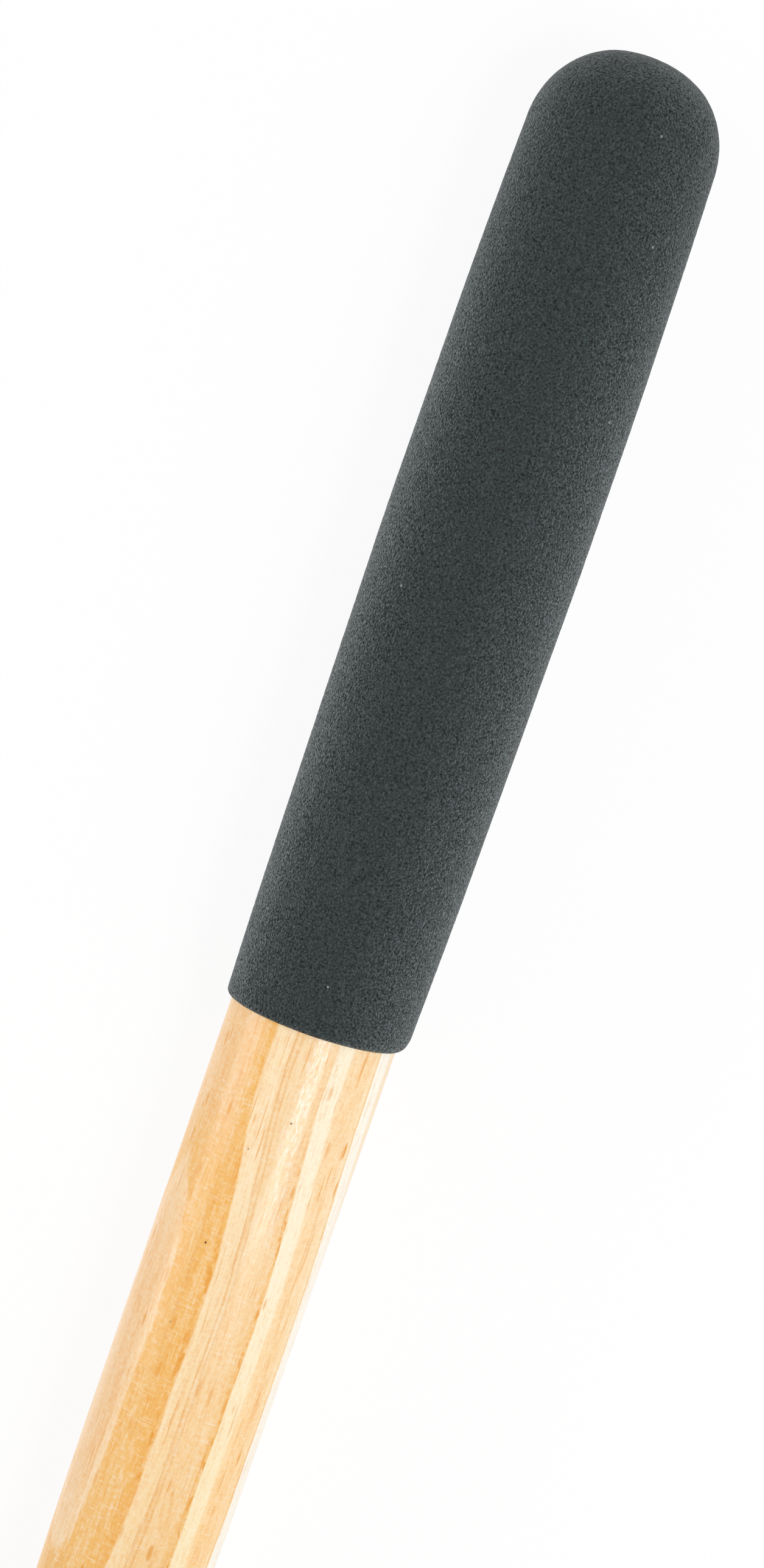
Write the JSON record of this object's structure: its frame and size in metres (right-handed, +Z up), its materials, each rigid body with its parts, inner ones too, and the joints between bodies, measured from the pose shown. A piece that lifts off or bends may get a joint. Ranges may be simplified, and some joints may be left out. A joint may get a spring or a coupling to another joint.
{
  "type": "snow brush scraper",
  "caption": "Long-handled snow brush: round wooden handle with a closed-end foam grip, staggered rows of bristle tufts, and a wide ice scraper blade on the other end.",
  "frame": {"origin": "on the ground under the middle of the whole tool, which stands on its scraping edge and the underside of its grip", "axes": "+X along the handle towards the closed end of the grip, +Z up the way the bristles point, +Y completes the right-handed frame"},
  "size_m": [0.635, 0.1, 0.0919],
  "materials": {
    "lacquered_wood": "gloss",
    "grip_foam": "matte",
    "scraper_plastic": "satin",
    "bristle": "satin",
    "screw_steel": "satin",
    "anchor_wire": "satin"
  },
  "bodies": {
    "root": {"wooden_handle": "lacquered_wood", "foam_grip": "grip_foam", "scraper_head": "scraper_plastic", "scraper_screw_left": "screw_steel", "scraper_screw_right": "screw_steel", "bristle_row_1": "bristle", "bristle_row_2": "bristle", "bristle_row_3": "bristle", "bristle_row_4": "bristle", "anchor_row_1": "anchor_wire", "anchor_row_2": "anchor_wire", "anchor_row_3": "anchor_wire", "anchor_row_4": "anchor_wire"}
  },
  "joints": []
}
